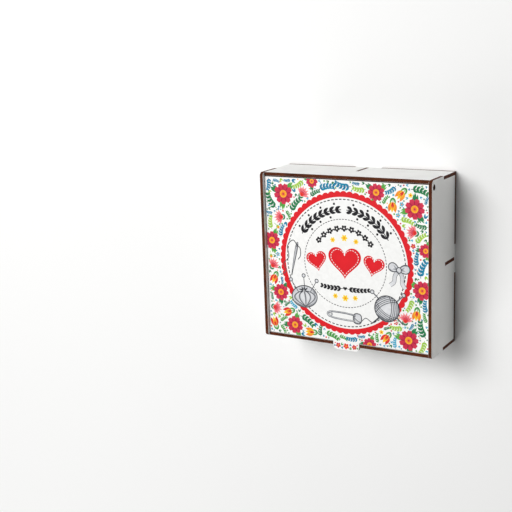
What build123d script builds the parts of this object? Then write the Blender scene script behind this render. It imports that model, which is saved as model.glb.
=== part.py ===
from build123d import *
from math import hypot
import os

# Sewing box of laser-cut fibreboard, faced white on both sides, with a hinged lid.
# The box lies flat: X across its width, Y from front to rear, Z up.
# The origin is the centre of the underside of the bottom panel. Sizes are in millimetres.

# Outside of the closed box, with the finger tab left out
box_width = 160.0
box_depth = 150.0
box_height = 55.0

# Thickness of the board that every piece is cut from
board = 3.0

# Tabs and slots that hold the walls, floor and dividers together
base_tab_width = 25.0
corner_split_height = 29.0
divider_tab_height = 22.0
joint_clearance = 0.1

# Side walls stand higher than the lid and the other walls, with rounded upper corners
lid_recess = 3.0
side_corner_radius = 3.5

# Lid and its finger tab
lid_clearance = 0.5
finger_tab_width = 25.0
finger_tab_reach = 4.0
finger_tab_radius = 4.0
finger_tab_clearance = 0.5
finger_tab_rest_gap = 0.3

# Hinge: flat pins, cut in one piece with the lid, turn in round holes in the side walls
pin_width = 3.6
pin_clearance = 0.2
pin_recess = 1.0
pin_shoulder = 0.3
swing_clearance = 0.4

# Places that follow from the sizes above
half_width = box_width / 2
half_depth = box_depth / 2
inner_half_width = half_width - board
inner_half_depth = half_depth - board
low_wall_top = box_height - lid_recess
lid_underside = low_wall_top - board
divider_tab_top = board + divider_tab_height
hinge_height = lid_underside + board / 2
lid_tail = pin_width / 2 + pin_shoulder
tail_radius = hypot(lid_tail, board / 2)
hinge_y = inner_half_depth - tail_radius - swing_clearance
hinge_hole_radius = hypot(pin_width, board) / 2 + pin_clearance
divider_top = hinge_height - tail_radius - swing_clearance


def area(left, right, low, high):
    """A rectangle between two opposite corners of its plane."""
    centre = Pos((left + right) / 2, (low + high) / 2)
    return centre * Rectangle(right - left, high - low)


def tab(width, low, high):
    """A centred tab, or the piece that a centred notch takes away."""
    return area(-width / 2, width / 2, low, high)


def slot(low, high):
    """A slot for the thickness of one board, with its clearance."""
    return tab(board + 2 * joint_clearance, low, high + joint_clearance)


def lying_board(outline, underside):
    """A piece that lies flat, with its outline drawn in X and Y."""
    return extrude(Plane.XY.offset(underside) * outline, amount=board).solid()


def crosswise_board(outline, front_face):
    """A piece that stands across the box, with its outline drawn in X and Z."""
    face = Plane(origin=(0, front_face, 0), x_dir=(1, 0, 0), z_dir=(0, -1, 0))
    return extrude(face * outline, amount=-board).solid()


def lengthwise_board(outline, left_face):
    """A piece that stands from front to rear, with its outline drawn in Y and Z."""
    face = Plane(origin=(left_face, 0, 0), x_dir=(0, 1, 0), z_dir=(1, 0, 0))
    return extrude(face * outline, amount=board).solid()


def bottom_panel():
    """Full-size floor with a notch in the middle of each side for a wall's tab."""
    outline = Rectangle(box_width, box_depth)
    notch = base_tab_width / 2 + joint_clearance
    for side in (-1, 1):
        outline -= Pos(0, side * (half_depth - board / 2)) * Rectangle(2 * notch, board)
        outline -= Pos(side * (half_width - board / 2), 0) * Rectangle(board, 2 * notch)
    return lying_board(outline, 0)


def low_wall_outline():
    """Front or rear wall: its lower half laps over the ends of the side walls."""
    outline = area(-inner_half_width, inner_half_width, board, low_wall_top)
    outline += area(-half_width, half_width, board, corner_split_height - joint_clearance)
    outline += tab(base_tab_width, 0, board)
    return outline


def front_wall():
    """Wall with a notch in its top edge, in which the lid's finger tab lies."""
    notch_floor = lid_underside - finger_tab_rest_gap
    notch_width = finger_tab_width + 2 * finger_tab_clearance
    outline = low_wall_outline() - tab(notch_width, notch_floor, low_wall_top)
    return crosswise_board(outline, -half_depth)


def rear_wall():
    """Wall with a slot through which the rear divider's tab shows."""
    outline = low_wall_outline() - slot(board, divider_tab_top)
    return crosswise_board(outline, inner_half_depth)


def side_wall(left_face):
    """Left or right wall, whose upper half laps over the front and rear walls."""
    outline = area(-half_depth, half_depth, corner_split_height, box_height)
    outline = fillet(outline.vertices().group_by(Axis.Y)[-1], side_corner_radius)
    outline += area(-inner_half_depth, inner_half_depth, board, corner_split_height)
    outline += tab(base_tab_width, 0, board)
    outline -= slot(board, divider_tab_top)
    outline -= Pos(hinge_y, hinge_height) * Circle(hinge_hole_radius)
    return lengthwise_board(outline, left_face)


def middle_divider():
    """Divider across the box; its tabs pass through both side walls."""
    outline = area(-inner_half_width, inner_half_width, board, divider_top)
    outline += area(-half_width, half_width, board, divider_tab_top)
    outline -= slot(board, divider_tab_top)
    return crosswise_board(outline, -board / 2)


def rear_divider():
    """Divider of the rear half; its tabs pass through the rear wall and the middle divider."""
    outline = area(board / 2, inner_half_depth, board, divider_top)
    outline += area(-board / 2, half_depth, board, divider_tab_top)
    return lengthwise_board(outline, -board / 2)


def lid():
    """Lid that lies between the walls, with its two hinge pins and its finger tab."""
    side = inner_half_width - lid_clearance
    front = inner_half_depth - lid_clearance
    tip = half_depth + finger_tab_reach
    finger_tab = area(-finger_tab_width / 2, finger_tab_width / 2, -tip, -front)
    finger_tab = fillet(finger_tab.vertices().group_by(Axis.Y)[0], finger_tab_radius)
    pin_tip = half_width - pin_recess
    pins = area(-pin_tip, pin_tip, hinge_y - pin_width / 2, hinge_y + pin_width / 2)
    outline = area(-side, side, -front, hinge_y + lid_tail) + finger_tab + pins
    return lying_board(outline, lid_underside)


pieces = {
    "bottom_panel": bottom_panel(),
    "front_wall": front_wall(),
    "rear_wall": rear_wall(),
    "left_wall": side_wall(-half_width),
    "right_wall": side_wall(inner_half_width),
    "middle_divider": middle_divider(),
    "rear_divider": rear_divider(),
    "lid": lid(),
}

os.makedirs("parts", exist_ok=True)
for name, piece in pieces.items():
    piece.label = name
    export_step(piece, f"parts/{name}.step")

print("hinge axis at y", round(hinge_y, 3), "z", round(hinge_height, 3))
print("top of the dividers at z", round(divider_top, 3))
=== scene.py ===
import bpy
import numpy as np
from mathutils import Matrix, Vector


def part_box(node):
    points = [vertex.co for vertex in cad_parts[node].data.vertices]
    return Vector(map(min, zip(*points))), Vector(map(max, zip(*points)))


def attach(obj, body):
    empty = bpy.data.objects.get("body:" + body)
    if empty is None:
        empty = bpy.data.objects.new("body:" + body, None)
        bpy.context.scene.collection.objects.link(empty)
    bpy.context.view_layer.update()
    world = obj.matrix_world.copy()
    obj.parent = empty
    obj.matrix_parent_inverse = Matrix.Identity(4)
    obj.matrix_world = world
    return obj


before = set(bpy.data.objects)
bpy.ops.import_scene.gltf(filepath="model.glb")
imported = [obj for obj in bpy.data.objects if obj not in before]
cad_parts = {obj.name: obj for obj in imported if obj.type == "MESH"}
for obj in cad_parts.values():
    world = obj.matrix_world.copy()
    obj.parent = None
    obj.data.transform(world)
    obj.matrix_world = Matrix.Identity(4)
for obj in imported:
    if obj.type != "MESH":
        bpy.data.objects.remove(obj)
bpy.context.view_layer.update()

# Bottom panel: the floor of the box, a sheet of bare brown fibreboard, 3 mm thick.
# It is laser-cut, so its edges are burnt darker than its faces, and it is glued to the walls, whose
# tabs sit in its four notches.


def add(tree, kind, inputs=None, **fields):
    """A shader node: fields are its own settings, and inputs its sockets, each a value or an output
    to link."""
    made = tree.nodes.new(kind)
    for field, value in fields.items():
        setattr(made, field, value)
    for socket, value in (inputs or {}).items():
        if isinstance(value, bpy.types.NodeSocket):
            tree.links.new(value, made.inputs[socket])
        else:
            made.inputs[socket].default_value = value
    return made


def linear(red, green, blue):
    """A colour as a screen shows it, from 0 to 255, made linear by the usual curve."""
    share = np.array([red, green, blue]) / 255
    low, high = share / 12.92, ((share + 0.055) / 1.055) ** 2.4
    return (*np.where(share <= 0.04045, low, high), 1.0)


def new_finish(name, roughness):
    """A material, the tree in it and its Principled shader."""
    finish = bpy.data.materials.new(name)
    finish.use_nodes = True
    tree = finish.node_tree
    shader = tree.nodes["Principled BSDF"]
    shader.inputs["Roughness"].default_value = roughness
    return finish, tree, shader


def noise(tree, position, size, detail=3.0, distortion=0.0):
    """Soft noise from 0 to 1 whose lumps are about size metres across."""
    sockets = {"Vector": position, "Scale": 1 / size, "Detail": detail, "Distortion": distortion}
    return add(tree, "ShaderNodeTexNoise", sockets).outputs["Fac"]


def mapped(tree, value, low, high, start=0.0, end=1.0):
    """The value's range from low to high, stretched to run from start to end."""
    sockets = {"Value": value, "From Min": low, "From Max": high, "To Min": start, "To Max": end}
    return add(tree, "ShaderNodeMapRange", sockets).outputs["Result"]


def sum_of(tree, first, second, way="ADD", **fields):
    """Two numbers, each a value or an output, put together that way."""
    return add(tree, "ShaderNodeMath", {0: first, 1: second}, operation=way, **fields).outputs[0]


def blended(tree, factor, first, second):
    """Two colours, each a value or an output, mixed by the factor."""
    made = add(tree, "ShaderNodeMix", {0: factor, 6: first, 7: second}, data_type="RGBA")
    return made.outputs[2]


def new_group(name, given, result):
    """A node group with those named inputs and outputs, and its input and output nodes' sockets."""
    group = bpy.data.node_groups.new(name, "ShaderNodeTree")
    for way, sockets in (("INPUT", given), ("OUTPUT", result)):
        for socket, kind in sockets.items():
            group.interface.new_socket(socket, in_out=way, socket_type="NodeSocket" + kind)
    return group, group.nodes.new("NodeGroupInput").outputs, group.nodes.new("NodeGroupOutput").inputs


def cut_edge_group():
    """Finds the laser-cut edge of a flat board. A point's depth is its position along the line
    across the board, less the middle of the thickness: where that is smaller than half the bare
    core, the point is on a cut edge. The burn is noise read at the point's place on the middle
    plane, so that its streaks run straight through the thickness, as the beam did."""
    group, given, result = new_group(
        "cut_edge",
        {"Position": "Vector", "Across": "Vector", "Middle": "Float", "Half Core": "Float"},
        {"Edge": "Float", "Burn": "Float", "Fibre": "Float"},
    )
    along = add(
        group, "ShaderNodeVectorMath", {0: given["Position"], 1: given["Across"]}, operation="DOT_PRODUCT"
    ).outputs["Value"]
    off = sum_of(group, along, given["Middle"], "SUBTRACT")
    depth = add(group, "ShaderNodeMath", {0: off}, operation="ABSOLUTE").outputs[0]
    lift = add(
        group, "ShaderNodeVectorMath", {0: given["Across"], "Scale": off}, operation="SCALE"
    ).outputs[0]
    flat = add(
        group, "ShaderNodeVectorMath", {0: given["Position"], 1: lift}, operation="SUBTRACT"
    ).outputs[0]
    streaks = noise(group, flat, 0.0005, 2.0)
    patches = noise(group, flat, 0.009, 2.0)
    group.links.new(sum_of(group, depth, given["Half Core"], "LESS_THAN"), result["Edge"])
    group.links.new(mapped(group, sum_of(group, streaks, patches), 0.7, 1.3), result["Burn"])
    group.links.new(noise(group, given["Position"], 0.0007, 4.0, 0.6), result["Fibre"])
    return group


cut_edge = cut_edge_group()
burnt_dark = linear(52, 20, 6)
burnt_light = linear(102, 48, 20)


def board_edge(tree, position, node, skin):
    """The cut-edge group set to a board whose facing is skin metres thick. The board is thinnest
    across, so its box gives that direction, the middle of its thickness and half of it."""
    low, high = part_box(node)
    size = high - low
    thin = min(range(3), key=lambda axis: size[axis])
    made = add(tree, "ShaderNodeGroup", node_tree=cut_edge)
    tree.links.new(position, made.inputs["Position"])
    made.inputs["Across"].default_value = [float(axis == thin) for axis in range(3)]
    made.inputs["Middle"].default_value = (low[thin] + high[thin]) / 2
    made.inputs["Half Core"].default_value = size[thin] / 2 - skin
    return made.outputs


def dress(node, finish):
    """Gives a CAD node that one material."""
    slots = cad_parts[node].data.materials
    slots.clear()
    slots.append(finish)


bare_skin = 0.00004


def bare_board(node):
    """Brown fibreboard: two browns by its fibres, with larger clouds of a third. It has no film, and
    its bare skin is only the depth at which its faces end and its cut edges begin."""
    finish, tree, shader = new_finish(node + "_bare", 0.62)
    position = add(tree, "ShaderNodeTexCoord").outputs["Object"]
    cut = board_edge(tree, position, node, bare_skin)
    clouds = mapped(tree, noise(tree, position, 0.018), 0.35, 0.65)
    fibres = mapped(tree, cut["Fibre"], 0.3, 0.7)
    face = blended(tree, fibres, linear(104, 62, 36), linear(136, 88, 55))
    face = blended(tree, mapped(tree, clouds, 0.0, 1.0, 0.0, 0.6), face, linear(116, 72, 43))
    edge = blended(tree, cut["Burn"], burnt_dark, burnt_light)
    tree.links.new(blended(tree, cut["Edge"], face, edge), shader.inputs["Base Color"])
    bump = add(tree, "ShaderNodeBump", {"Height": cut["Fibre"], "Distance": 0.00003, "Strength": 0.5})
    tree.links.new(bump.outputs["Normal"], shader.inputs["Normal"])
    return finish


dress("bottom_panel", bare_board("bottom_panel"))

# Walls: four panels of the same fibreboard, faced on both sides with a thin white film.
# The laser leaves brown edges between two hair-thin white lines of film. The front and rear walls
# lap over the side walls below, and the side walls lap over them above.
film = 0.00006
wall_white = (245, 245, 243)
cloud_shade = 6


def faced_board(node, white):
    """White film with a faint cloudy tone and the slight ripple of the board under it; on the cut
    edges the brown core shows instead, matt and streaked."""
    finish, tree, shader = new_finish(node + "_faced", 0.4)
    shader.inputs["Specular IOR Level"].default_value = 0.15
    position = add(tree, "ShaderNodeTexCoord").outputs["Object"]
    cut = board_edge(tree, position, node, film)
    clouds = mapped(tree, noise(tree, position, 0.03, 4.0), 0.35, 0.65)
    face = blended(tree, clouds, linear(*white), linear(*(tone - cloud_shade for tone in white)))
    edge = blended(tree, cut["Burn"], burnt_dark, burnt_light)
    tree.links.new(blended(tree, cut["Edge"], face, edge), shader.inputs["Base Color"])
    matt = mapped(tree, cut["Edge"], 0.0, 1.0, 0.38, 0.75)
    rubbed = mapped(tree, noise(tree, position, 0.006, 5.0), 0.4, 0.7, -0.04, 0.06)
    tree.links.new(sum_of(tree, matt, rubbed), shader.inputs["Roughness"])
    ripple = sum_of(tree, noise(tree, position, 0.0025, 2.0), 0.25, "MULTIPLY")
    fibres = sum_of(tree, cut["Fibre"], cut["Edge"], "MULTIPLY")
    sockets = {"Height": sum_of(tree, ripple, fibres), "Distance": 0.00004, "Strength": 0.4}
    bump = add(tree, "ShaderNodeBump", sockets)
    tree.links.new(bump.outputs["Normal"], shader.inputs["Normal"])
    return finish


for wall in ("front_wall", "rear_wall", "left_wall", "right_wall"):
    dress(wall, faced_board(wall, wall_white))

# Dividers: two more faced panels that part the inside into three compartments.
# The middle one lies across the box, and the rear one runs from it to the rear wall; their tabs
# show as brown bars in the walls.
for divider in ("middle_divider", "rear_divider"):
    dress(divider, faced_board(divider, wall_white))

# Lid: a faced panel between the walls, with a finger tab at the front and two flat pins at the
# rear, all cut in one piece. Its upper film carries the printed design.
lid_white = (251, 250, 248)
dress("lid", faced_board("lid", lid_white))

# Round field: the plain white ground in the middle of the print, a shade greyer than the film.
# It is ink, like all the marks that follow: each is a flat island on the lid's upper face, and as
# many ink steps high as its layer says, so that it covers those of lower layers.
mm = 0.001
lid_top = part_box("lid")[1].z
ink_step = 0.012
neighbour_lift = 0.1
lid_side = 76.4
lid_front = -71.4
lid_rear = 71.0
tab_half = 12.4
tab_front = -78.9
field = np.array([0.0, -1.0])
field_reach = 59.0
field_layer = 6


def triangles(quads):
    """Each four-sided face as two triangles."""
    return np.concatenate([quads[:, [0, 1, 2]], quads[:, [0, 2, 3]]])


def copies(points, faces, tones):
    """Like islands, points by islands by 3, each with the same faces and tones, as one part."""
    count, size = points.shape[:2]
    corners = (faces[None] + size * np.arange(count)[:, None, None]).reshape(-1, 3)
    return points.reshape(-1, 3), corners, np.tile(tones, count)


def tops(count, layer):
    """The heights of a layer's islands: neighbours differ by a share of a step, over and over in
    sevens, so that where they overlap no two lie in one plane."""
    return ink_step * (layer + 1 + neighbour_lift * (np.arange(count) % 7))[:, None]


def islands(outlines, layer, tones=(0.0, 1.0)):
    """Filled shapes, each a closed outline of points in millimetres. The surface goes from the
    middle of the underside out to the outline, up by the ink's height and back in to the middle
    of the top. The tone runs from the first value in the middle to the second at the outline."""
    outlines = outlines.reshape(-1, *outlines.shape[-2:])
    count, size = outlines.shape[:2]
    middle = outlines.mean(1, keepdims=True)
    flat = np.concatenate([outlines, outlines, middle, middle], 1)
    height = tops(count, layer) * np.r_[np.zeros(size), np.ones(size), 0.0, 1.0]
    points = np.dstack([flat, height])
    here = np.arange(size)
    after = (here + 1) % size
    sides = triangles(np.stack([here, after, after + size, here + size], 1))
    under = np.stack([after, here, np.full(size, 2 * size)], 1)
    over = np.stack([here + size, after + size, np.full(size, 2 * size + 1)], 1)
    tone = np.r_[np.full(2 * size, tones[1]), tones[0], tones[0]]
    return copies(points, np.concatenate([sides, under, over]), tone)


def ink_tone_group():
    """Turns a mark's own tone and a painter's unevenness, which is coarse noise, into a share from 0,
    the deep ink, to 1, the light."""
    group, given, result = new_group(
        "ink_tone", {"Position": "Vector", "Tone": "Float", "Unevenness": "Float"}, {"Share": "Float"}
    )
    coarse = sum_of(group, noise(group, given["Position"], 0.004, 3.0, 0.8), 0.5, "SUBTRACT")
    uneven = sum_of(group, coarse, given["Unevenness"], "MULTIPLY")
    group.links.new(sum_of(group, uneven, given["Tone"], use_clamp=True), result["Share"])
    return group


ink_tone = ink_tone_group()


def ink(name, deep, light, unevenness=0.9):
    """Printing ink between a deep and a light colour, by the mark's tone."""
    finish, tree, shader = new_finish(name + "_ink", 0.5)
    shader.inputs["Specular IOR Level"].default_value = 0.25
    share = add(tree, "ShaderNodeGroup", node_tree=ink_tone)
    tree.links.new(add(tree, "ShaderNodeTexCoord").outputs["Object"], share.inputs["Position"])
    tone = add(tree, "ShaderNodeAttribute", attribute_name="tone").outputs["Fac"]
    tree.links.new(tone, share.inputs["Tone"])
    share.inputs["Unevenness"].default_value = unevenness
    colour = blended(tree, share.outputs["Share"], linear(*deep), linear(*light))
    tree.links.new(colour, shader.inputs["Base Color"])
    return finish


def printed(name, finish, *parts):
    """A piece of the print on the lid's upper face: its parts, each with points, triangles and
    tones. The print stops about a tenth of a millimetre inside the edges of the lid and its tab."""
    starts = np.cumsum([0] + [len(part[0]) for part in parts[:-1]])
    places = np.concatenate([part[0] for part in parts])
    corners = np.concatenate([part[1] + start for part, start in zip(parts, starts)])
    tones = np.concatenate([part[2] for part in parts])
    front = np.where(abs(places[:, 0]) < tab_half, tab_front, lid_front)
    places[:, 0] = places[:, 0].clip(-lid_side, lid_side)
    places[:, 1] = places[:, 1].clip(front, lid_rear)
    places = places * mm + [0.0, 0.0, lid_top]
    mesh = bpy.data.meshes.new(name)
    mesh.vertices.add(len(places))
    mesh.vertices.foreach_set("co", places.astype(np.float32).ravel())
    mesh.loops.add(corners.size)
    mesh.loops.foreach_set("vertex_index", corners.astype(np.int32).ravel())
    mesh.polygons.add(len(corners))
    mesh.polygons.foreach_set("loop_start", np.arange(0, corners.size, 3, dtype=np.int32))
    mesh.update(calc_edges=True)
    mesh.shade_flat()
    tone_field = mesh.attributes.new("tone", "FLOAT", "POINT")
    tone_field.data.foreach_set("value", tones.astype(np.float32))
    mesh.materials.append(finish)
    piece = bpy.data.objects.new(name, mesh)
    bpy.context.scene.collection.objects.link(piece)
    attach(piece, "lid")


def around(count):
    """That many directions, evenly round the circle."""
    return np.arange(count) * 2 * np.pi / count


def facing(angle):
    """The directions at those angles, each 1 long: the cosine and the sine."""
    return np.stack([np.cos(angle), np.sin(angle)], -1)


def circle(count=24):
    """A round outline of reach 1."""
    return facing(around(count))


field_white = ink("ground_white", (236, 236, 234), (249, 249, 247), 1.6)
printed(
    "round_field", field_white, islands(circle(256) * field_reach + field, field_layer, (0.6, 0.6))
)

# Scalloped ring: a border of red ink round the field, with a row of small scallops outside. It is
# printed over the field's edge, so that no gap shows between the two.
ring_layer = field_layer + 1
ring_inner = 58.0
ring_reach = 63.2
scallops = 66


def band(inner, outer, layer, tone=0.5):
    """A closed band between two outlines of as many points: a rectangle carried round them."""
    size = len(inner)
    top = ink_step * (layer + 1)
    rows = [(inner, 0.0), (outer, 0.0), (outer, top), (inner, top)]
    points = np.concatenate([np.c_[line, np.full(size, level)] for line, level in rows])
    here = np.arange(size)
    after = (here + 1) % size
    quads = [
        np.stack([row * size + here, row * size + after, turn * size + after, turn * size + here], 1)
        for row, turn in ((0, 1), (1, 2), (2, 3), (3, 0))
    ]
    return points, triangles(np.concatenate(quads)), np.full(4 * size, tone)


def bloom(petals, depth, roundness, notch=0.0, steps=14):
    """The outline of a blossom of reach 1: between its tips the reach falls by the depth, as that
    power of the distance from the tip, and each tip may have a notch, shaped like a bell curve."""
    notch_width = 0.22
    angle = around(petals * steps)
    off = abs((angle * petals / (2 * np.pi)) % 1 - 0.5) * 2
    reach = 1 - depth * off**roundness - notch * np.exp(-((off / notch_width) ** 2))
    return reach[:, None] * facing(angle)


red = ink("red", (210, 14, 28), (230, 24, 36), 0.5)
ring_line = bloom(scallops, 0.022, 2.2, steps=16) * ring_reach + field
ring_hole = circle(len(ring_line)) * ring_inner + field
printed("scalloped_ring", red, band(ring_hole, ring_line, ring_layer))

# Stitch rings: two rings of running stitches inside the red border, a bold one next to it and a
# fine one round the hearts, printed in black ink.


def strokes(paths, halves, layer, tones=(0.0, 1.0)):
    """Pen lines: a flat rectangle carried along each path, halves wide to either side of it, and
    closed at both ends. The tone runs from the first value at the start to the second at the end."""
    halves = np.broadcast_to(halves, paths.shape[:-1]).reshape(-1, paths.shape[-2])
    paths = paths.reshape(-1, *paths.shape[-2:])
    count, size = halves.shape
    ahead = np.gradient(paths, axis=1)
    ahead /= np.linalg.norm(ahead, axis=2, keepdims=True)
    left = np.stack([-ahead[..., 1], ahead[..., 0]], 2) * halves[..., None]
    top = tops(count, layer) * np.ones(size)
    rows = [(paths - left, 0 * top), (paths + left, 0 * top), (paths + left, top), (paths - left, top)]
    points = np.stack([np.dstack(row) for row in rows], 2)
    ring = np.array([[3, 7, 6, 2], [0, 1, 5, 4], [0, 4, 7, 3], [1, 2, 6, 5]])
    quads = (4 * np.arange(size - 1)[:, None, None] + ring).reshape(-1, 4)
    last = 4 * (size - 1)
    caps = np.array([[0, 3, 2, 1], [last, last + 1, last + 2, last + 3]])
    tone = np.repeat(np.linspace(*tones, size), 4)
    return copies(points.reshape(count, 4 * size, 3), triangles(np.concatenate([quads, caps])), tone)


def stitch_ring(reach, count, length, half):
    """A ring of evenly spaced stitches round the field's middle, each a short arc."""
    angle = around(count)[:, None] + np.linspace(0, length / reach, 6)
    return strokes(field + reach * facing(angle), half, ring_layer)


black = ink("black", (14, 14, 17), (30, 30, 35), 0.5)
printed(
    "stitch_rings",
    black,
    stitch_ring(reach=56.0, count=94, length=2.4, half=0.42),
    stitch_ring(reach=38.8, count=88, length=1.8, half=0.3),
)

# Hearts: a large one in the middle of the field between two small ones, printed in red, each with
# a seam of white stitches inside its edge.


def spread(shape, places):
    """Copies of a shape, sized, turned and moved to each place: x, y, size and turn."""
    x, y, size, turn = np.array(places, float).reshape(-1, 4).T
    turning = np.array([[np.cos(turn), -np.sin(turn)], [np.sin(turn), np.cos(turn)]]) * size
    fit = (-1, *[1] * (shape.ndim - 1), 2)
    return np.einsum("ijn,...j->n...i", turning, shape) + np.stack([x, y], 1).reshape(fit)


def heart_line():
    """A heart of half width 1, upright, by the usual curve: a cubed sine across, four cosines up."""
    angle = around(120)
    up = 13 * np.cos(angle) - 5 * np.cos(2 * angle) - 2 * np.cos(3 * angle) - np.cos(4 * angle)
    return np.c_[-16 * np.sin(angle) ** 3, up] / 16


def stitches(line, pitch, share, steps=5):
    """Stitches along a closed line: it is measured and divided into an even number of pitches, and
    each stitch takes that share of its pitch, in the middle, so that none bends over a tip halfway
    round."""
    closed = np.vstack([line, line[:1]])
    walked = np.r_[0, np.cumsum(np.linalg.norm(np.diff(closed, axis=0), axis=1))]
    count = 2 * round(walked[-1] / pitch / 2)
    starts = (np.arange(count) + (1 - share) / 2) * walked[-1] / count
    at = starts[:, None] + np.linspace(0, share * pitch, steps)
    return np.stack([np.interp(at, walked, closed[:, axis]) for axis in (0, 1)], 2)


white = ink("white", (244, 243, 240), (253, 252, 250), 0.4)
heart_places = [(0.0, 1.5, 15.5, 0.0), (-27.0, 0.0, 9.8, 0.2), (27.0, 0.0, 9.8, -0.2)]
seam_share = 0.84
heart_seams = [spread(heart_line() * seam_share, place)[0] for place in heart_places]
printed("hearts", red, islands(spread(heart_line(), heart_places), ring_layer, (0.9, 0.3)))
printed(
    "heart_stitches",
    white,
    *(strokes(stitches(seam, pitch=2.5, share=0.6), 0.27, ring_layer + 1) for seam in heart_seams),
)

# Garland: two leafy twigs with berries round the top of the field, over a row of small flowers with
# white eyes, and two short twigs with a tiny heart between them below the three hearts. All but the
# eyes is printed in black.
straight = 0.001


def bent(roots, lengths, headings, turnings, steps=9):
    """Curved lines of even bend: each leaves its root with a heading, and turns evenly by so much
    over its length, so its points are the length over the turning, times the change in the sine
    and cosine of the heading. The turning may not be 0: a straight line turns by next to nothing."""
    roots = np.array(roots, float).reshape(-1, 2)
    spans = np.broadcast_arrays(lengths, headings, turnings, np.zeros(len(roots)))
    lengths, headings, turnings = (np.asarray(span, float)[:, None] for span in spans[:3])
    roots = np.broadcast_to(roots, (len(lengths), 2))
    now = headings + turnings * np.linspace(0, 1, steps)
    run = np.stack([np.sin(now) - np.sin(headings), np.cos(headings) - np.cos(now)], 2)
    return roots[:, None] + (lengths / turnings)[..., None] * run


def leaves_on(stem, at, lengths, lean=0.75, turning=-0.6):
    """Centre lines of leaves in pairs: at each share of the way along the stem one leans off to
    each side, and bends on by the turning."""
    walked = np.linspace(0, 1, len(stem))
    roots = np.stack([np.interp(at, walked, stem[:, axis]) for axis in (0, 1)], 1)
    ahead = np.gradient(stem, axis=0)
    heading = np.interp(at, walked, np.unwrap(np.arctan2(ahead[:, 1], ahead[:, 0])))
    return np.concatenate([bent(roots, lengths, heading + s * lean, s * turning) for s in (1, -1)])


def leaf_width(width, steps=9):
    """Half widths along a leaf: a sine over half a turn, of the way along to the power 0.8, which is
    widest before the middle, and a small share more, so that the ends don't close."""
    return width * (np.sin(np.pi * np.linspace(0, 1, steps) ** 0.8) + 0.06)


def drawn(paths, halves, places, layer, tones=(0.0, 1.0)):
    """The pen lines of a motif of reach 1 at all its places, widths and all."""
    places = np.array(places, float).reshape(-1, 4)
    sized = np.multiply.outer(places[:, 2], np.broadcast_to(halves, paths.shape[:-1]))
    return strokes(spread(paths, places), sized, layer, tones)


def filled(outlines, places, layer, tones=(0.0, 1.0)):
    """The filled outlines of a motif of reach 1 at all its places."""
    return islands(spread(outlines, places), layer, tones)


def dots(centres, size, count=12):
    """Round outlines of that size about each centre."""
    return circle(count) * size + np.array(centres, float).reshape(-1, 1, 2)


twig_reach = 47.0
half_twig = twig_reach * facing(np.radians(np.linspace(150, 93, 40)))
half_leaves = leaves_on(half_twig, np.linspace(0.03, 0.88, 8), np.linspace(7.4, 6.2, 8))
berry_reach = twig_reach * (1 + 0.115 * np.array([1, -1, 1, -1, 1, -1, 1]))
half_berries = berry_reach[:, None] * facing(np.radians(np.linspace(145, 100, 7)))
bottom_twig = bent([(1.5, -22.0)], 21.0, -0.12, 0.3, 24)[0]
bottom_leaves = leaves_on(bottom_twig, np.linspace(0.12, 0.93, 6), np.linspace(4.6, 3.4, 6))
flower_reach = 31.0
flower_size = 2.9
flower_turn = np.radians(np.linspace(38, 142, 9))
flower_centres = flower_reach * facing(flower_turn) + field
flower_places = np.c_[flower_centres, np.full(len(flower_turn), flower_size), flower_turn]
between_flowers = flower_reach * facing((flower_turn[1:] + flower_turn[:-1]) / 2) + field
at_field = [(*field, 1.0, 0.0)]


def mirrored(shapes):
    """The shapes and their mirror images across the lid's middle, with their outlines still turning
    the same way."""
    return np.concatenate([shapes, (shapes * [-1, 1])[..., ::-1, :]])


printed(
    "garland",
    black,
    drawn(mirrored(half_twig[None]), 0.36, at_field, ring_layer),
    drawn(mirrored(half_leaves), leaf_width(1.35), at_field, ring_layer),
    filled(mirrored(dots(half_berries, 1.05)), at_field, ring_layer),
    filled(bloom(5, 0.4, 2.2), flower_places, ring_layer),
    islands(dots(between_flowers, 0.75), ring_layer),
    drawn(mirrored(bottom_twig[None]), 0.26, at_field, ring_layer),
    drawn(mirrored(bottom_leaves), leaf_width(0.95), at_field, ring_layer),
    filled(heart_line(), (0.0, -23.0, 1.9, 0.0), ring_layer),
)
printed("garland_eyes", white, filled(circle() * 0.22, flower_places, ring_layer + 1))

# Florets: small yellow flowers with orange eyes, printed on the field, three above the hearts and
# three below them.
yellow = ink("yellow", (246, 196, 26), (253, 222, 60), 0.8)
floret_places = [
    (x, y, size, np.pi / 2)
    for x, y, size in (
        (-11.0, 19.2, 2.5), (0.0, 21.6, 3.1), (11.0, 19.2, 2.5),
        (-9.5, -30.6, 2.5), (0.0, -31.6, 3.1), (9.5, -30.6, 2.5),
    )
]
printed("yellow_florets", yellow, filled(bloom(6, 0.42, 1.5), floret_places, ring_layer, (0.0, 0.7)))
orange = ink("orange", (232, 112, 24), (250, 168, 46), 0.9)
printed("floret_eyes", orange, filled(circle() * 0.27, floret_places, ring_layer + 1, (0.2, 0.6)))

# Sketches: five sewing things drawn in grey pencil round the sides and the foot of the field,
# partly over the red ring, each with its own few lines below.
paper_grey = ink("paper_grey", (194, 196, 200), (228, 229, 231), 1.2)
shadow_grey = ink("shadow_grey", (122, 125, 130), (170, 172, 176), 1.0)
pencil = ink("pencil", (46, 48, 53), (80, 83, 89), 0.8)
sketch_layer = ring_layer + 1
second_layer = sketch_layer + 4
third_layer = sketch_layer + 7
line_lift = 0.04


def loop(outline):
    """An outline as a pen line that ends where it began."""
    return np.vstack([outline, outline[:1]])


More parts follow.
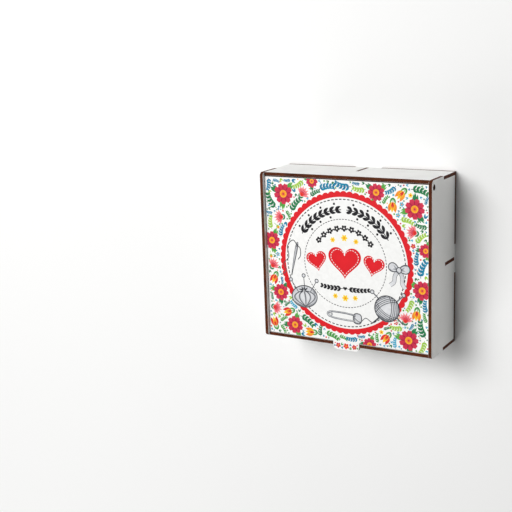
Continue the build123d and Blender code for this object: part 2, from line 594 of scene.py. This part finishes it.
def sketch(name, place, fills, shadows, lines, glints=(), base=sketch_layer):
    """A pencil drawing at its place, in millimetres: light filled outlines, then grey lines for its
    shadows, dark lines and light lines on top. Each line is a path and its half width, and lies a
    little higher than the line before it, which it may cross. A drawing with a higher base covers
    another at the same place."""
    printed(name + "_fill", paper_grey, *(filled(line, place, base, (0.9, 0.2)) for line in fills))
    for kind, finish, rank, pairs in (
        ("shadows", shadow_grey, 1, shadows),
        ("lines", pencil, 2, lines),
        ("glints", paper_grey, 3, glints),
    ):
        if pairs:
            parts = [
                drawn(path, half, place, base + rank + line_lift * turn)
                for turn, (path, half) in enumerate(pairs)
            ]
            printed(f"{name}_{kind}", finish, *parts)


def between_points(*points, steps=12):
    """A smooth line through points, by a cubic of even steps in each gap."""
    points = np.array(points, float)
    slopes = np.gradient(points, axis=0)
    at = np.linspace(0, len(points) - 1, steps * (len(points) - 1) + 1)
    low = np.minimum(at.astype(int), len(points) - 2)
    t = (at - low)[:, None]
    return (
        (2 * t**3 - 3 * t**2 + 1) * points[low] + (t**3 - 2 * t**2 + t) * slopes[low]
        + (3 * t**2 - 2 * t**3) * points[low + 1] + (t**3 - t**2) * slopes[low + 1]
    )


# Pincushion: a round cushion with five seams, a small leafy crown and three pins with round heads,
# at the front left of the field.
cushion = circle(64) * [10.5, 8.2]
down = np.linspace(0.02, 1, 20)
# Each seam swings out by its lean on the way down, as a sine fullest a little above the middle.
seams = [
    np.c_[lean * np.sin(np.pi * down**0.75), 4.6 - 12.6 * down + 0.05 * abs(lean) * down]
    for lean in (-8.6, -4.6, 0.4, 4.6, 8.6)
]
crown_turn = np.radians([-28, 22, 66, 114, 158, 208])
crown_roots = 0.5 * facing(crown_turn) * [1.0, 0.6] + [0.1, 4.7]
crown = bent(crown_roots, 2.0 + 1.9 * abs(np.cos(crown_turn)), crown_turn, 0.3)
pin_lines = [
    between_points((-4.5, 3.5), (-9.0, 12.0)),
    between_points((1.0, 5.5), (1.5, 14.5)),
    between_points((5.5, 3.5), (11.0, 10.5)),
]


def knob(line, reach):
    """A round outline of that reach, set on the end of a line."""
    ahead = line[-1] - line[-2]
    return circle() * reach + line[-1] + reach * ahead / np.hypot(*ahead)


pin_heads = [knob(line, 1.35) for line in pin_lines]
sketch(
    "pincushion",
    (-40.0, -34.5, 1.2, 0.12),
    [cushion, *pin_heads],
    [(cushion[36:62] * 0.93, leaf_width(0.9, 26)), (cushion[2:9] * 0.9, leaf_width(0.6, 7))]
    + [(seam + [0.55, 0], leaf_width(0.45, 20)) for seam in seams],
    [(loop(cushion), 0.36)]
    + [(seam, 0.22) for seam in seams]
    + [(line, 0.26) for line in pin_lines]
    + [(crown, leaf_width(0.55))]
    + [(loop(head), 0.28) for head in pin_heads],
)

# Ball of yarn: three bundles of strands across the ball, a loose tail, and two crossed needles with
# knobs that lie under it, at the front right of the field.
yarn_place = (39.0, -36.5, 1.2, 0.0)
ball_reach = 9.4
ball = circle(64) * ball_reach
strand = np.linspace(-1, 1, 18)
strand_reach = 9.3
# Each strand is a chord of the ball, bowed outwards, and five of them make a bundle.
strands = []
for turn in (0.5, 2.55, 4.65):
    for lift in (0.12, 0.32, 0.52, 0.72, 0.88):
        arc = np.c_[strand * np.sqrt(1 - lift**2), lift + 0.3 * (1 - strand**2) * (1 - lift)]
        strands.append(spread(arc * strand_reach, (0, 0, 1, turn))[0])
needles = [between_points((12.0, -10.0), (-10.2, 10.3)), between_points((-11.0, -11.5), (11.6, 10.2))]
needle_ends = [knob(line, 1.4) for line in needles]
tail = between_points((-6.0, -7.2), (-11.0, -11.5), (-16.5, -9.0), (-21.0, -12.5), (-25.5, -10.0))
sketch(
    "yarn_needles",
    yarn_place,
    needle_ends,
    [(line + [0.25, -0.25], 0.5) for line in needles],
    [(line, 0.3) for line in needles] + [(loop(end), 0.28) for end in needle_ends],
)
sketch(
    "yarn_ball",
    yarn_place,
    [ball],
    [(ball[38:63] * 0.92, leaf_width(1.2, 25))] + [(line * 0.985, 0.3) for line in strands[::2]],
    [(loop(ball), 0.36), (tail, 0.26)] + [(line, 0.2) for line in strands],
    base=second_layer,
)

# Safety pin: a wire that runs from its cap to the coil at the other end and back, at the front
# of the field.
wire = between_points(
    (10.0, 2.3), (0.0, 2.7), (-11.0, 2.0), (-13.6, 0.0), (-11.6, -2.0), (-9.6, 0.0), (-11.4, 1.6)
)
lower_wire = between_points((-11.4, 1.6), (-12.8, -0.4), (-10.0, -2.2), (0.0, -2.6), (10.0, -2.2))
cap = np.sign(circle(40)) * abs(circle(40)) ** 0.75 * [3.4, 4.0] + [11.6, 0.0]
cap_shadow = cap[24:38] * [0.95, 0.9] + [0.5, 0.0]
cap_rim = bent([(9.2, 2.6)], 5.2, -1.5, -0.15)
sketch(
    "safety_pin",
    (-2.0, -48.0, 1.15, -0.06),
    [cap],
    [(wire - [0, 0.35], 0.5), (lower_wire - [0, 0.35], 0.5), (cap_shadow, 0.5)],
    [(wire, 0.55), (lower_wire, 0.55), (loop(cap), 0.36), (cap_rim, 0.25)],
    [(wire, 0.24), (lower_wire, 0.24)],
)

# Threaded needle: widest at its eye, with one long wavy end of thread and one short end, at the
# left of the field.
needle_path = bent([(-13.0, 0.0)], 26.0, 0.0, straight, 21)[0]
needle_widths = 0.95 * np.r_[np.linspace(0.1, 0.8, 12), np.linspace(0.86, 1.0, 6), 0.9, 0.7, 0.35]
needle_side = np.c_[np.zeros(21), needle_widths]
needle_outline = np.vstack([needle_path - needle_side, (needle_path + needle_side)[::-1]])
thread = between_points(
    (10.8, 0.0), (13.5, 4.0), (8.0, 7.5), (0.0, 5.0), (-6.0, 8.0), (-11.0, 5.0), (-15.0, 8.0)
)
short_end = between_points((10.8, 0.0), (9.0, -3.0), (4.0, -4.2), (0.5, -3.0))
eye_slit = bent([(9.2, 0.0)], 2.6, 0.0, straight)[0]
sketch(
    "threaded_needle",
    (-49.0, -1.0, 1.2, 1.35),
    [needle_outline],
    [(needle_path - [0, 0.35], needle_widths * 0.5)],
    [(loop(needle_outline), 0.24), (eye_slit, 0.3), (thread, 0.3), (short_end, 0.3)],
)

# Bow: two ribbon tails, two loops over them, each like a drop with two folds in it, and a knot on
# top, at the right of the field.
bow_place = (50.0, -2.0, 1.15, -0.1)
leans = (0.3, np.pi - 0.3)
# The outline of a drop: a cosine along it, and across it a sine that is thinned towards the knot.
round_turn = around(48)
drop_half = -3.9 * np.sin(round_turn) * np.sin(round_turn / 2) ** 0.6
teardrop = np.c_[4.3 - 4.3 * np.cos(round_turn), drop_half]
loops = [spread(teardrop, (0, 0, 1, lean))[0] for lean in leans]
folds = [
    spread(bent([(0.8, 0.0)], 4.6, side * 0.12, side * 0.5), (0, 0, 1, lean))[0, 0]
    for lean in leans
    for side in (1, -1)
]
tails = [
    between_points((0.0, 0.0), (3.0, -4.5), (3.6, -9.5), (6.4, -13.0)),
    between_points((0.0, 0.0), (-2.6, -4.5), (-3.0, -9.5), (-5.8, -12.4)),
]
sketch(
    "bow_tails",
    bow_place,
    [circle() * 0.8],
    [],
    [(tail, 1.6) for tail in tails],
    [(tail, 1.3) for tail in tails],
)
sketch(
    "bow",
    bow_place,
    loops,
    [(fold, leaf_width(0.5)) for fold in folds] + [(line[30:42] * 0.92, 0.5) for line in loops],
    [(loop(line), 0.32) for line in loops],
    base=second_layer,
)
knot = circle() * [1.9, 2.2]
sketch(
    "bow_knot",
    bow_place,
    [knot],
    [(knot[14:20] * 0.75, 0.35)],
    [(loop(knot), 0.3)],
    base=third_layer,
)

# Floral ground: flowers, fruit, leaves and butterflies strewn over the rest of the lid, some cut by
# its edges or reaching under the red ring. The press lays one ink at a time, so all that the ground
# has of one ink is one piece. Every motif is drawn with reach 1 and a heading along x.
chance = np.random.default_rng(23)
throw_side = 76
throw_end = 71
marks = {}
blossoms = np.array([
    (-58.5, 56.5, 9.6, 0.2), (64.0, 50.5, 9.0, 0.9), (-71.5, 14.0, 8.4, 0.5), (70.5, -17.5, 8.6, 0.1),
    (-50.5, -62.0, 8.4, 0.7), (58.5, -62.0, 9.2, 0.4), (30.0, 62.5, 7.8, 0.0), (-64.0, -33.0, 8.0, 0.3),
    (22.5, -71.0, 6.6, 0.6), (-30.0, 69.0, 5.8, 0.3), (73.5, 16.5, 6.2, 0.6),
])
taken = [blossoms[:, :3]]


def pen(name, paths, halves, places, layer, tones=(0.0, 1.0)):
    """Adds pen lines at all those places to the marks of one ink."""
    marks.setdefault(name, []).append(drawn(paths, halves, places, layer, tones))


def patch(name, outlines, places, layer, tones=(0.0, 1.0)):
    """Adds filled outlines at all those places to the marks of one ink."""
    marks.setdefault(name, []).append(filled(outlines, places, layer, tones))


def settle(count, size, slim=1.0, gap=0.3, throws=6000):
    """Throws motifs of that size at the ground and keeps those with room. A motif's room is three
    circles in a row along its heading, as thick as the slim share of its size; they keep that gap
    from the lid's sides, the ring and all motifs there before. Places are x, y, size and turn."""
    nearest = (-throw_side, -throw_end, 0)
    furthest = (throw_side, throw_end, 2 * np.pi)
    x, y, turn = chance.uniform(nearest, furthest, (throws, 3)).T
    girth = slim * size
    along = (size - girth) * np.array([-1, 0, 1])
    heading = facing(turn)[:, None]
    middles = np.stack([x, y], 1)[:, None] + along[:, None] * heading
    to_side = lid_side - abs(middles[..., 0])
    to_end = np.minimum(middles[..., 1] - lid_front, lid_rear - middles[..., 1])
    to_ring = np.linalg.norm(middles - field, axis=2) - ring_reach

    def room(spots, others):
        """How far each of those motifs is from the nearest of the other circles."""
        away = np.linalg.norm(middles[spots][:, :, None] - others[:, :2], axis=3) - others[:, 2]
        return away.min((1, 2))

    left = np.flatnonzero(np.minimum(np.minimum(to_side, to_end), to_ring).min(1) > girth + gap)
    left = left[room(left, np.concatenate(taken)) > girth + gap]
    found = []
    while len(left) and len(found) < count:
        found.append(left[0])
        taken.append(np.c_[middles[left[0]], [girth] * 3])
        left = left[room(left, taken[-1]) > girth + gap]
    return np.c_[x, y, np.full(throws, size), turn][found]


# Blossoms, the largest: notched crimson petals round an orange middle, which has a deep rim, a ring
# of yellow dots and a small crimson eye.
middle_reach = 0.42
rays = bent(middle_reach * circle(9), 0.42, around(9), straight)
patch("crimson", bloom(9, 0.3, 2.6, 0.07), blossoms, 1, (0.1, 0.8))
pen("deep_crimson", rays, leaf_width(0.05), blossoms, 2)
patch("deep_crimson", circle(32) * middle_reach, blossoms, 3)
patch("orange", circle(32) * 0.36, blossoms, 4, (0.1, 0.9))
patch("yellow", dots(0.27 * circle(10), 0.042, 8), blossoms, 5)
patch("crimson", bloom(5, 0.5, 1.4) * 0.13, blossoms, 5)

# Leaves under the blossoms: three threes of them under each, in two greens. They keep other motifs
# away from their tips.
under = bent([(0.5, 0.0)] * 3, (0.9, 1.05, 0.9), (0.5, 0.0, -0.5), (-0.6, 0.15, 0.6))
sprouts = np.concatenate([blossoms + [0, 0, 0, turn] for turn in (0.6, 2.5, 4.4)])
pen("leaf_green", under, leaf_width(0.13), sprouts[::2], 0)
pen("deep_green", under, leaf_width(0.13), sprouts[1::2], 0)
sprout_size = sprouts[:, 2:3]
outward = facing(sprouts[:, 3])
taken.append(np.c_[sprouts[:, :2] + 1.2 * sprout_size * outward, 0.22 * sprout_size])

# Tulips: an orange or scarlet petal on each side of a yellow one, with scarlet veins, on a green
# stem with two leaves.
tulips = settle(8, 6.4, 0.62)
cup = [(-0.4, 0.0)]
outer_petals = bent(cup * 2, 1.42, (0.6, -0.6), (-0.55, 0.55))
veins = bent(cup * 3, (0.9, 1.05, 0.9), (0.4, 0.0, -0.4), (-0.4, straight, 0.4))
tulip_leaves = bent([(-0.98, 0.0)] * 2, 0.95, (0.85, -0.85), (-0.9, 0.9))
pen("orange", outer_petals, leaf_width(0.3), tulips[::2], 0, (1.0, 0.2))
pen("scarlet", outer_petals, leaf_width(0.3), tulips[1::2], 0, (1.0, 0.2))
pen("yellow", bent(cup, 1.36, 0.0, straight), leaf_width(0.27), tulips, 1, (0.9, 0.2))
pen("scarlet", veins, leaf_width(0.07), tulips, 2)
pen("leaf_green", bent([(-1.0, 0.0)], 0.66, 0.0, 0.1), 0.05, tulips, 0)
pen("leaf_green", tulip_leaves, leaf_width(0.12), tulips, 1)

# Carnations: a fan of pink petals on a scarlet cup, with crimson threads, on a green stem with two
# leaves.
carnations = settle(6, 6.2, 0.78)
fan = np.linspace(-1.05, 1.05, 7)
petals = bent(cup * 7, 1.3 - 0.12 * abs(fan), fan, 0.25 * fan + 0.01)
threads = bent(cup * 6, 0.95, fan[:-1] + 0.17, 0.1)
carnation_leaves = bent([(-0.95, 0.0)] * 2, 0.7, (1.1, -1.1), (-0.9, 0.9))
pen("pink", petals, leaf_width(0.18), carnations, 0, (0.0, 0.9))
pen("crimson", threads, leaf_width(0.05), carnations, 2)
patch("scarlet", circle() * [0.27, 0.33] + [-0.36, 0.0], carnations, 3)
pen("deep_green", bent([(-1.0, 0.0)], 0.55, 0.0, 0.1), 0.05, carnations, 0)
pen("deep_green", carnation_leaves, leaf_width(0.11), carnations, 1)

# Ferns: bent twigs with leaves in pairs, in three greens and teal. These are the large ones, and
# smaller ones follow once the larger flowers have their places.
fern = bent([(-0.95, -0.15)], 2.0, 0.45, -0.8, 20)[0]
fern_leaves = leaves_on(fern, np.linspace(0.14, 0.95, 5), np.linspace(0.66, 0.44, 5), 1.0, -0.7)


def strew_ferns(*kinds):
    """Ferns of several kinds, each with its ink, their number and their size."""
    for name, count, size in kinds:
        ferns = settle(count, size, 0.45, 0.05)
        pen(name, fern[None], 0.04, ferns, 0)
        pen(name, fern_leaves, leaf_width(0.135), ferns, 1)


strew_ferns(
    ("teal", 3, 7.4),
    ("deep_green", 16, 7.4),
    ("leaf_green", 18, 6.6),
    ("light_green", 8, 5.8),
    ("teal", 6, 5.4),
)

# Strawberries: scarlet fruit with rows of yellow seeds, under a green cap of five leaves with a
# short stalk.
berries = settle(6, 4.8, 0.72)
fruit_taper = 0.45
fruit = circle(40) * [0.72, 0.58]
fruit[:, 1] *= 1 + fruit_taper * fruit[:, 0]
seed_rows = ((0.3, 4), (0.05, 4), (-0.2, 3), (-0.45, 2))
seeds = [(x, y) for x, count in seed_rows for y in np.linspace(-0.11, 0.11, count) * count]
cap_leaves = bent([(0.62, 0.0)] * 5, 0.46, np.pi + np.linspace(-1.5, 1.5, 5), 0.4)
patch("scarlet", fruit, berries, 0, (0.8, 0.1))
pen("yellow", bent(seeds, 0.1, np.pi, straight, 3), 0.03, berries, 1)
pen("deep_green", cap_leaves, leaf_width(0.1), berries, 2)
pen("deep_green", bent([(0.6, 0.0)], 0.42, 0.0, 0.8), 0.045, berries, 1)

# Cornflowers: nine pointed teal petals, with nine shorter light blue ones over them and a yellow
# eye.
cornflowers = settle(7, 4.8)
pointed = bloom(9, 0.5, 0.9)
patch("teal", pointed, cornflowers, 0, (0.1, 0.9))
patch("light_blue", pointed * 0.62, cornflowers, 1, (0.6, 0.9))
patch("yellow", circle() * 0.2, cornflowers, 2)

# Butterflies: teal fore wings and light blue hind wings with pink spots, and a green body with two
# feelers.
butterflies = settle(4, 4.6, 0.9)
fore_wings = bent([(0.05, 0.0)] * 2, 1.05, (0.95, -0.95), (0.25, -0.25))
hind_wings = bent([(-0.05, 0.0)] * 2, 0.8, (2.1, -2.1), (0.3, -0.3))
spots = dots([(0.5, 0.62), (0.5, -0.62), (-0.4, 0.45), (-0.4, -0.45)], 0.1)
feelers = bent([(0.48, 0.0)] * 2, 0.4, (0.35, -0.35), (0.5, -0.5))
pen("teal", fore_wings, leaf_width(0.3)[::-1], butterflies, 0)
pen("light_blue", hind_wings, leaf_width(0.24)[::-1], butterflies, 0)
patch("pink", spots, butterflies, 1)
pen("deep_green", bent([(-0.45, 0.0)], 0.95, 0.0, straight), leaf_width(0.07), butterflies, 1)
pen("deep_green", feelers, 0.03, butterflies, 1)

# Smaller ferns: the same twigs between the flowers, down to less than half the size of the largest,
# some of them light blue.
strew_ferns(
    ("deep_green", 24, 5.2),
    ("light_blue", 14, 4.6),
    ("leaf_green", 24, 4.2),
    ("teal", 8, 3.4),
    ("deep_green", 24, 3.4),
)

# Buds and berry sprays: round orange buds on light green stems with two leaves, and sprays of three
# thin stems with scarlet berries at their tips and crimson ones halfway.
buds = settle(7, 3.4, 0.5, 0.15)
bud_leaves = bent([(0.0, 0.1)] * 2, 0.75, (0.9, -1.1), (-0.9, 0.9))
pen("light_green", bent([(-0.95, 0.0)], 1.2, 0.3, -0.6), 0.07, buds, 0)
pen("light_green", bud_leaves, leaf_width(0.16), buds, 1)
patch("orange", circle() * 0.46 + [0.5, 0.05], buds, 0, (0.1, 0.8))
sprays = settle(22, 3.2, 0.6, 0.15)
spray_lines = bent([(-0.9, 0.0)] * 3, (1.6, 1.35, 1.35), (0.0, 0.55, -0.55), (0.2, -0.3, 0.3))
pen("leaf_green", spray_lines, 0.05, sprays, 0)
patch("scarlet", dots(spray_lines[:, -1], 0.25), sprays, 1, (0.9, 0.2))
patch("crimson", dots(spray_lines[:, 5], 0.18), sprays, 1)

# Small florets of five petals, in four inks, and daisies with light green petals; all have a round
# eye.
floret = bloom(5, 0.42, 2.2)
floret_eye = circle() * 0.3
for name, eye, count, size in (
    ("pink", "orange", 8, 2.5),
    ("crimson", "orange", 10, 2.3),
    ("light_blue", "orange", 12, 2.1),
    ("yellow", "scarlet", 5, 2.1),
):
    florets = settle(count, size)
    patch(name, floret, florets, 0, (0.1, 0.9))
    patch(eye, floret_eye, florets, 1)
daisies = settle(10, 2.6)
patch("light_green", bloom(10, 0.4, 1.2), daisies, 0)
patch("orange", circle() * 0.42, daisies, 1)

# Pairs of leaves, smaller with every ink, and after them dots: they fill what is left of the
# ground.
pair = bent([(-0.8, 0.0)] * 2, 1.75, (0.5, -0.5), (-0.35, 0.35))
for name, count, size in (
    ("leaf_green", 60, 3.0),
    ("teal", 50, 2.5),
    ("light_green", 40, 2.2),
    ("deep_green", 120, 1.8),
    ("light_blue", 60, 1.5),
    ("teal", 90, 1.3),
    ("leaf_green", 120, 1.2),
    ("deep_green", 140, 1.0),
):
    pen(name, pair, leaf_width(0.3), settle(count, size, 0.55, 0.15), 0)
for name, count, size in (
    ("scarlet", 26, 0.8),
    ("leaf_green", 30, 0.8),
    ("crimson", 20, 0.7),
    ("teal", 30, 0.6),
    ("orange", 20, 0.6),
):
    patch(name, circle(), settle(count, size), 0)

# Finger tab: three florets with pairs of leaves and two dots round them, each listed one by one,
# because nothing is thrown as far as the tab.
tab_florets = [(-7.6, -75.2, 2.5, 0.3), (7.8, -75.3, 2.4, 1.2), (0.0, -75.3, 2.8, 0.2)]
green_pairs = [(-3.9, -73.8, 1.7, 0.9), (4.0, -76.8, 1.7, 2.6), (10.9, -75.8, 1.3, 1.9)]
teal_pairs = [(-3.9, -77.0, 1.4, 4.4), (4.1, -73.6, 1.4, 0.5), (-11.0, -75.6, 1.2, 1.2)]
tab_dots = [(10.6, -73.2, 0.6, 0.0), (-10.6, -73.2, 0.6, 0.0)]
patch("crimson", floret, tab_florets[:2], 0, (0.1, 0.9))
patch("scarlet", floret, tab_florets[2], 0, (0.1, 0.9))
patch("orange", floret_eye, tab_florets, 1)
pen("leaf_green", pair, leaf_width(0.3), green_pairs, 0)
pen("teal", pair, leaf_width(0.3), teal_pairs, 0)
patch("scarlet", circle(), tab_dots, 0)

# Inks of the ground: for each its deep and its light colour, and all its marks in one piece. Orange
# and yellow are the inks that the field's florets have too.
for name, deep, light in (
    ("crimson", (182, 24, 60), (216, 54, 84)),
    ("deep_crimson", (150, 16, 58), (180, 24, 70)),
    ("pink", (232, 88, 100), (250, 158, 160)),
    ("scarlet", (206, 26, 36), (238, 66, 50)),
    ("leaf_green", (38, 132, 62), (108, 182, 76)),
    ("light_green", (136, 188, 52), (186, 216, 92)),
    ("deep_green", (18, 100, 62), (44, 142, 82)),
    ("teal", (8, 104, 142), (32, 152, 186)),
    ("light_blue", (44, 148, 188), (104, 192, 216)),
):
    printed("ground_" + name, ink(name, deep, light), *marks[name])
printed("ground_orange", orange, *marks["orange"])
printed("ground_yellow", yellow, *marks["yellow"])

# Floor: a wide pale sheet of paper under the box, which isn't part of it and is only there to catch
# its shadow.
floor_reach = 4.0
floor_corners = [(x * floor_reach, y * floor_reach, 0.0) for x, y in ((-1, -1), (1, -1), (1, 1), (-1, 1))]
floor_mesh = bpy.data.meshes.new("floor")
floor_mesh.from_pydata(floor_corners, [], [(0, 1, 2, 3)])
floor = bpy.data.objects.new("floor", floor_mesh)
bpy.context.scene.collection.objects.link(floor)
floor_finish, _, floor_shader = new_finish("floor_paper", 0.8)
floor_shader.inputs["Base Color"].default_value = linear(244, 244, 243)
floor_mesh.materials.append(floor_finish)

# Lights: a large soft lamp above the rear left, a weaker one at the front left, a faint one at the
# front right, and a dim even sky.
box_middle = Vector((0.0, 0.0, 0.03))


def soft_lamp(name, place, width, watts):
    """A square lamp of that width, turned to face the middle of the box."""
    lamp = bpy.data.lights.new(name, "AREA")
    lamp.size = width
    lamp.energy = watts
    holder = bpy.data.objects.new(name, lamp)
    holder.location = place
    holder.rotation_euler = (box_middle - Vector(place)).to_track_quat("-Z", "Y").to_euler()
    bpy.context.scene.collection.objects.link(holder)


soft_lamp("key_lamp", (-0.5, 0.7, 1.6), width=1.0, watts=31.5)
soft_lamp("front_lamp", (-0.9, -1.3, 0.8), width=0.8, watts=8.0)
soft_lamp("side_lamp", (1.0, -1.2, 0.5), width=0.8, watts=0.5)
sky_strength = 0.13
sky = bpy.data.worlds.new("sky")
sky.use_nodes = True
background = sky.node_tree.nodes["Background"]
background.inputs["Color"].default_value = (1.0, 1.0, 1.0, 1.0)
background.inputs["Strength"].default_value = sky_strength
bpy.context.scene.world = sky
bpy.context.scene.view_settings.view_transform = "Standard"

# Camera: above the rear right corner, looking down on the lid, as the closed box is shown. Its
# place, its direction of sight and its lens are fitted to the corners of the box in that view.
camera_place = (0.361716, 0.200432, 0.78158)
sight = Vector((-0.511452, -0.229884, -0.827992)).normalized()
up_in_view = Vector((-0.087351, 0.972469, -0.21604))
across = sight.cross(up_in_view).normalized()
upward = across.cross(sight)
lens = bpy.data.cameras.new("camera")
lens.lens = 68.562
camera = bpy.data.objects.new("camera", lens)
turned = Matrix((across, upward, -sight)).transposed().to_4x4()
camera.matrix_world = Matrix.Translation(camera_place) @ turned
bpy.context.scene.collection.objects.link(camera)
bpy.context.scene.camera = camera
